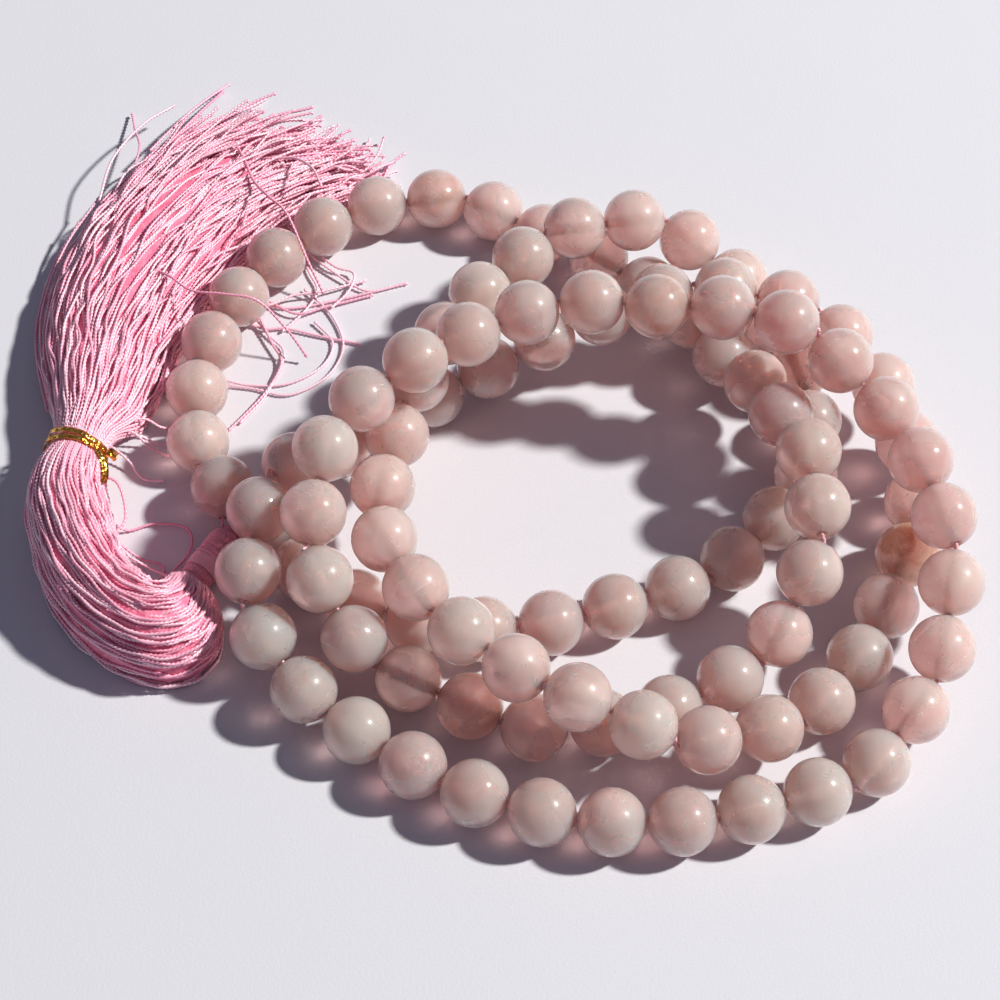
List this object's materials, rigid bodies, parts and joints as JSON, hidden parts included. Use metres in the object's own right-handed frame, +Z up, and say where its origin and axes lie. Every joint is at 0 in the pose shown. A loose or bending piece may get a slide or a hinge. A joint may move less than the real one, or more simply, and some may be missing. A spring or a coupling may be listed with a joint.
{
  "type": "mala prayer beads",
  "caption": "Strand of polished rose-quartz prayer beads laid in a loose coil, with a guru bead and a long pink silk tassel folded beside it and held by a gold twist tie.",
  "frame": {"origin": "middle of the laid-out mala's footprint, on the table it rests on", "axes": "+Z up from the table; +Y towards the far side of the coil, where the tassel's free ends lie; +X away from the tassel"},
  "size_m": [0.1174, 0.1182, 0.0246],
  "materials": {
    "rose_quartz_mid": "polished, translucent, faintly cloudy",
    "rose_quartz_light": "polished, translucent, faintly cloudy",
    "rose_quartz_deep": "polished, translucent, faintly cloudy",
    "rose_quartz_pale": "polished, translucent, milky",
    "cord_thread": "twisted thread",
    "neck_thread": "close-wound thread, satin",
    "tassel_silk": "silky two-ply twisted thread",
    "gold_foil": "crinkled metallic foil over thin wire"
  },
  "bodies": {
    "strand": {"stringing_cord": "cord_thread", "guru_bead": "rose_quartz_deep"},
    "pair_01": {"bead_pair_01": "rose_quartz_mid"},
    "pair_02": {"bead_pair_02": "rose_quartz_pale"},
    "pair_03": {"bead_pair_03": "rose_quartz_deep"},
    "pair_04": {"bead_pair_04": "rose_quartz_light"},
    "pair_05": {"bead_pair_05": "rose_quartz_mid"},
    "pair_06": {"bead_pair_06": "rose_quartz_pale"},
    "pair_07": {"bead_pair_07": "rose_quartz_deep"},
    "pair_08": {"bead_pair_08": "rose_quartz_light"},
    "pair_09": {"bead_pair_09": "rose_quartz_mid"},
    "pair_10": {"bead_pair_10": "rose_quartz_pale"},
    "pair_11": {"bead_pair_11": "rose_quartz_deep"},
    "pair_12": {"bead_pair_12": "rose_quartz_light"},
    "pair_13": {"bead_pair_13": "rose_quartz_mid"},
    "pair_14": {"bead_pair_14": "rose_quartz_pale"},
    "pair_15": {"bead_pair_15": "rose_quartz_deep"},
    "pair_16": {"bead_pair_16": "rose_quartz_light"},
    "pair_17": {"bead_pair_17": "rose_quartz_mid"},
    "pair_18": {"bead_pair_18": "rose_quartz_pale"},
    "pair_19": {"bead_pair_19": "rose_quartz_deep"},
    "pair_20": {"bead_pair_20": "rose_quartz_light"},
    "pair_21": {"bead_pair_21": "rose_quartz_mid"},
    "pair_22": {"bead_pair_22": "rose_quartz_pale"},
    "pair_23": {"bead_pair_23": "rose_quartz_deep"},
    "pair_24": {"bead_pair_24": "rose_quartz_light"},
    "pair_25": {"bead_pair_25": "rose_quartz_mid"},
    "pair_26": {"bead_pair_26": "rose_quartz_pale"},
    "pair_27": {"bead_pair_27": "rose_quartz_deep"},
    "pair_28": {"bead_pair_28": "rose_quartz_light"},
    "pair_29": {"bead_pair_29": "rose_quartz_mid"},
    "pair_30": {"bead_pair_30": "rose_quartz_pale"},
    "pair_31": {"bead_pair_31": "rose_quartz_deep"},
    "pair_32": {"bead_pair_32": "rose_quartz_light"},
    "pair_33": {"bead_pair_33": "rose_quartz_mid"},
    "pair_34": {"bead_pair_34": "rose_quartz_pale"},
    "pair_35": {"bead_pair_35": "rose_quartz_deep"},
    "pair_36": {"bead_pair_36": "rose_quartz_light"},
    "pair_37": {"bead_pair_37": "rose_quartz_mid"},
    "pair_38": {"bead_pair_38": "rose_quartz_pale"},
    "pair_39": {"bead_pair_39": "rose_quartz_deep"},
    "pair_40": {"bead_pair_40": "rose_quartz_light"},
    "pair_41": {"bead_pair_41": "rose_quartz_mid"},
    "pair_42": {"bead_pair_42": "rose_quartz_pale"},
    "pair_43": {"bead_pair_43": "rose_quartz_deep"},
    "pair_44": {"bead_pair_44": "rose_quartz_light"},
    "pair_45": {"bead_pair_45": "rose_quartz_mid"},
    "pair_46": {"bead_pair_46": "rose_quartz_pale"},
    "pair_47": {"bead_pair_47": "rose_quartz_deep"},
    "pair_48": {"bead_pair_48": "rose_quartz_light"},
    "pair_49": {"bead_pair_49": "rose_quartz_mid"},
    "pair_50": {"bead_pair_50": "rose_quartz_pale"},
    "pair_51": {"bead_pair_51": "rose_quartz_deep"},
    "pair_52": {"bead_pair_52": "rose_quartz_light"},
    "pair_53": {"bead_pair_53": "rose_quartz_mid"},
    "pair_54": {"bead_pair_54": "rose_quartz_pale"},
    "tassel": {"tassel_head": "neck_thread", "tassel_skirt": "tassel_silk"},
    "fan": {"tassel_fan": "tassel_silk"},
    "tie": {"gold_tie": "gold_foil"}
  },
  "joints": [
    {"name": "tassel_swing", "type": "hinge", "parent": "strand", "child": "tassel", "pos_m": [-0.03335, -0.01198, 0.00296], "axis": [0, 0, 1], "range_deg": [0, 4]},
    {"name": "fan_swing", "type": "hinge", "parent": "tassel", "child": "fan", "pos_m": [-0.05271, -0.00303, 0.0046], "axis": [0, 0, 1], "range_deg": [0, 8]},
    {"name": "tie_turn", "type": "hinge", "parent": "tassel", "child": "tie", "pos_m": [-0.05271, -0.00303, 0.0046], "axis": [0.2571, 0.9664, 0], "range_deg": [-15, 15]},
    {"name": "pair_01_spin", "type": "hinge", "parent": "strand", "child": "pair_01", "pos_m": [-0.03789, 0.00303, 0.004], "axis": [-0.0813, 0.9967, 0], "continuous": true},
    {"name": "pair_02_spin", "type": "hinge", "parent": "strand", "child": "pair_02", "pos_m": [-0.0353, 0.0189, 0.004], "axis": [0.3823, 0.924, 0], "continuous": true},
    {"name": "pair_03_spin", "type": "hinge", "parent": "strand", "child": "pair_03", "pos_m": [-0.02613, 0.03213, 0.004], "axis": [0.7434, 0.6688, 0], "continuous": true},
    {"name": "pair_04_spin", "type": "hinge", "parent": "strand", "child": "pair_04", "pos_m": [-0.01182, 0.03921, 0.004], "axis": [0.9885, 0.1512, 0], "continuous": true},
    {"name": "pair_05_spin", "type": "hinge", "parent": "strand", "child": "pair_05", "pos_m": [0.00346, 0.03529, 0.00441], "axis": [0.8436, -0.5354, 0.0405], "continuous": true},
    {"name": "pair_06_spin", "type": "hinge", "parent": "strand", "child": "pair_06", "pos_m": [0.01734, 0.02686, 0.004], "axis": [0.7941, -0.6077, 0], "continuous": true},
    {"name": "pair_07_spin", "type": "hinge", "parent": "strand", "child": "pair_07", "pos_m": [0.02788, 0.01478, 0.00544], "axis": [0.469, -0.8727, 0.1356], "continuous": true},
    {"name": "pair_08_spin", "type": "hinge", "parent": "strand", "child": "pair_08", "pos_m": [0.03456, 0.00099, 0.01061], "axis": [0.309, -0.8853, 0.3476], "continuous": true},
    {"name": "pair_09_spin", "type": "hinge", "parent": "strand", "child": "pair_09", "pos_m": [0.03878, -0.01402, 0.01431], "axis": [0.0664, -0.9977, -0.0139], "continuous": true},
    {"name": "pair_10_spin", "type": "hinge", "parent": "strand", "child": "pair_10", "pos_m": [0.0361, -0.02844, 0.00887], "axis": [-0.442, -0.718, -0.5377], "continuous": true},
    {"name": "pair_11_spin", "type": "hinge", "parent": "strand", "child": "pair_11", "pos_m": [0.02464, -0.03834, 0.00443], "axis": [-0.895, -0.4331, -0.1064], "continuous": true},
    {"name": "pair_12_spin", "type": "hinge", "parent": "strand", "child": "pair_12", "pos_m": [0.00901, -0.04237, 0.004], "axis": [-0.9965, -0.0836, 0.0003], "continuous": true},
    {"name": "pair_13_spin", "type": "hinge", "parent": "strand", "child": "pair_13", "pos_m": [-0.00635, -0.03807, 0.00424], "axis": [-0.9021, 0.4271, 0.0611], "continuous": true},
    {"name": "pair_14_spin", "type": "hinge", "parent": "strand", "child": "pair_14", "pos_m": [-0.01846, -0.0302, 0.01036], "axis": [-0.5017, 0.73, 0.4641], "continuous": true},
    {"name": "pair_15_spin", "type": "hinge", "parent": "strand", "child": "pair_15", "pos_m": [-0.0208, -0.01587, 0.01652], "axis": [0.1515, 0.9447, 0.2908], "continuous": true},
    {"name": "pair_16_spin", "type": "hinge", "parent": "strand", "child": "pair_16", "pos_m": [-0.0127, -0.00276, 0.01924], "axis": [0.7968, 0.5703, 0.1995], "continuous": true},
    {"name": "pair_17_spin", "type": "hinge", "parent": "strand", "child": "pair_17", "pos_m": [0.0006, 0.0063, 0.01888], "axis": [0.8967, 0.4419, -0.0241], "continuous": true},
    {"name": "pair_18_spin", "type": "hinge", "parent": "strand", "child": "pair_18", "pos_m": [0.01635, 0.00861, 0.01978], "axis": [0.9906, -0.1242, 0.057], "continuous": true},
    {"name": "pair_19_spin", "type": "hinge", "parent": "strand", "child": "pair_19", "pos_m": [0.03237, 0.00626, 0.0206], "axis": [0.9475, -0.3169, 0.0434], "continuous": true},
    {"name": "pair_20_spin", "type": "hinge", "parent": "strand", "child": "pair_20", "pos_m": [0.04566, -0.00139, 0.01644], "axis": [0.6805, -0.6377, -0.3609], "continuous": true},
    {"name": "pair_21_spin", "type": "hinge", "parent": "strand", "child": "pair_21", "pos_m": [0.05316, -0.01517, 0.01397], "axis": [0.266, -0.9614, -0.0702], "continuous": true},
    {"name": "pair_22_spin", "type": "hinge", "parent": "strand", "child": "pair_22", "pos_m": [0.05413, -0.03037, 0.0092], "axis": [-0.1816, -0.9268, -0.3287], "continuous": true},
    {"name": "pair_23_spin", "type": "hinge", "parent": "strand", "child": "pair_23", "pos_m": [0.04744, -0.04425, 0.00469], "axis": [-0.6122, -0.7717, -0.1723], "continuous": true},
    {"name": "pair_24_spin", "type": "hinge", "parent": "strand", "child": "pair_24", "pos_m": [0.03385, -0.0524, 0.004], "axis": [-0.9612, -0.2758, 0.0003], "continuous": true},
    {"name": "pair_25_spin", "type": "hinge", "parent": "strand", "child": "pair_25", "pos_m": [0.01786, -0.05513, 0.004], "axis": [-1, -0.0082, 0], "continuous": true},
    {"name": "pair_26_spin", "type": "hinge", "parent": "strand", "child": "pair_26", "pos_m": [0.00185, -0.05267, 0.004], "axis": [-0.9535, 0.3013, 0.0001], "continuous": true},
    {"name": "pair_27_spin", "type": "hinge", "parent": "strand", "child": "pair_27", "pos_m": [-0.01265, -0.04541, 0.004], "axis": [-0.8221, 0.5694, 0.0013], "continuous": true},
    {"name": "pair_28_spin", "type": "hinge", "parent": "strand", "child": "pair_28", "pos_m": [-0.02489, -0.03511, 0.00615], "axis": [-0.6091, 0.7562, 0.2389], "continuous": true},
    {"name": "pair_29_spin", "type": "hinge", "parent": "strand", "child": "pair_29", "pos_m": [-0.02883, -0.0208, 0.01103], "axis": [0.1261, 0.9779, 0.1667], "continuous": true},
    {"name": "pair_30_spin", "type": "hinge", "parent": "strand", "child": "pair_30", "pos_m": [-0.02191, -0.007, 0.00925], "axis": [0.6274, 0.6508, -0.4275], "continuous": true},
    {"name": "pair_31_spin", "type": "hinge", "parent": "strand", "child": "pair_31", "pos_m": [-0.01095, 0.00366, 0.00422], "axis": [0.7794, 0.6241, -0.0546], "continuous": true},
    {"name": "pair_32_spin", "type": "hinge", "parent": "strand", "child": "pair_32", "pos_m": [0.00301, 0.01151, 0.00601], "axis": [0.8976, 0.3677, 0.2431], "continuous": true},
    {"name": "pair_33_spin", "type": "hinge", "parent": "strand", "child": "pair_33", "pos_m": [0.01786, 0.01561, 0.01112], "axis": [0.9395, 0.1286, 0.3175], "continuous": true},
    {"name": "pair_34_spin", "type": "hinge", "parent": "strand", "child": "pair_34", "pos_m": [0.03378, 0.01562, 0.013], "axis": [0.9801, -0.1786, -0.0872], "continuous": true},
    {"name": "pair_35_spin", "type": "hinge", "parent": "strand", "child": "pair_35", "pos_m": [0.04705, 0.00769, 0.0097], "axis": [0.618, -0.7286, -0.2952], "continuous": true},
    {"name": "pair_36_spin", "type": "hinge", "parent": "strand", "child": "pair_36", "pos_m": [0.05267, -0.00646, 0.00496], "axis": [0.0861, -0.9668, -0.2407], "continuous": true},
    {"name": "pair_37_spin", "type": "hinge", "parent": "strand", "child": "pair_37", "pos_m": [0.04955, -0.02208, 0.004], "axis": [-0.4004, -0.9164, 0], "continuous": true},
    {"name": "pair_38_spin", "type": "hinge", "parent": "strand", "child": "pair_38", "pos_m": [0.04156, -0.0362, 0.00422], "axis": [-0.622, -0.7813, 0.0518], "continuous": true},
    {"name": "pair_39_spin", "type": "hinge", "parent": "strand", "child": "pair_39", "pos_m": [0.0287, -0.04524, 0.00694], "axis": [-0.9171, -0.3211, 0.2365], "continuous": true},
    {"name": "pair_40_spin", "type": "hinge", "parent": "strand", "child": "pair_40", "pos_m": [0.01361, -0.0449, 0.01177], "axis": [-0.9206, 0.3153, 0.2305], "continuous": true},
    {"name": "pair_41_spin", "type": "hinge", "parent": "strand", "child": "pair_41", "pos_m": [-0.00041, -0.03704, 0.01252], "axis": [-0.7807, 0.6249, -0.0019], "continuous": true},
    {"name": "pair_42_spin", "type": "hinge", "parent": "strand", "child": "pair_42", "pos_m": [-0.01102, -0.02489, 0.01219], "axis": [-0.4779, 0.8774, -0.0422], "continuous": true},
    {"name": "pair_43_spin", "type": "hinge", "parent": "strand", "child": "pair_43", "pos_m": [-0.01267, -0.0092, 0.0112], "axis": [0.1904, 0.9808, -0.0419], "continuous": true},
    {"name": "pair_44_spin", "type": "hinge", "parent": "strand", "child": "pair_44", "pos_m": [-0.00778, 0.00618, 0.01231], "axis": [0.4264, 0.9045, -0.0011], "continuous": true},
    {"name": "pair_45_spin", "type": "hinge", "parent": "strand", "child": "pair_45", "pos_m": [0.0011, 0.01973, 0.01205], "axis": [0.6802, 0.7329, -0.017], "continuous": true},
    {"name": "pair_46_spin", "type": "hinge", "parent": "strand", "child": "pair_46", "pos_m": [0.0146, 0.02818, 0.01224], "axis": [0.9684, 0.2349, -0.0843], "continuous": true},
    {"name": "pair_47_spin", "type": "hinge", "parent": "strand", "child": "pair_47", "pos_m": [0.02919, 0.02647, 0.00712], "axis": [0.7758, -0.4969, -0.3889], "continuous": true},
    {"name": "pair_48_spin", "type": "hinge", "parent": "strand", "child": "pair_48", "pos_m": [0.03827, 0.014, 0.00441], "axis": [0.2865, -0.9581, -0.004], "continuous": true},
    {"name": "pair_49_spin", "type": "hinge", "parent": "strand", "child": "pair_49", "pos_m": [0.04, -0.00202, 0.00409], "axis": [-0.135, -0.9906, -0.0239], "continuous": true},
    {"name": "pair_50_spin", "type": "hinge", "parent": "strand", "child": "pair_50", "pos_m": [0.03233, -0.01594, 0.004], "axis": [-0.6858, -0.7278, 0], "continuous": true},
    {"name": "pair_51_spin", "type": "hinge", "parent": "strand", "child": "pair_51", "pos_m": [0.01876, -0.02454, 0.004], "axis": [-0.9475, -0.3199, 0], "continuous": true},
    {"name": "pair_52_spin", "type": "hinge", "parent": "strand", "child": "pair_52", "pos_m": [0.00304, -0.02863, 0.004], "axis": [-0.9936, -0.1125, 0.0001], "continuous": true},
    {"name": "pair_53_spin", "type": "hinge", "parent": "strand", "child": "pair_53", "pos_m": [-0.0129, -0.02662, 0.004], "axis": [-0.9339, 0.3575, 0], "continuous": true},
    {"name": "pair_54_spin", "type": "hinge", "parent": "strand", "child": "pair_54", "pos_m": [-0.02523, -0.01672, 0.004], "axis": [-0.4863, 0.8738, 0], "continuous": true}
  ]
}
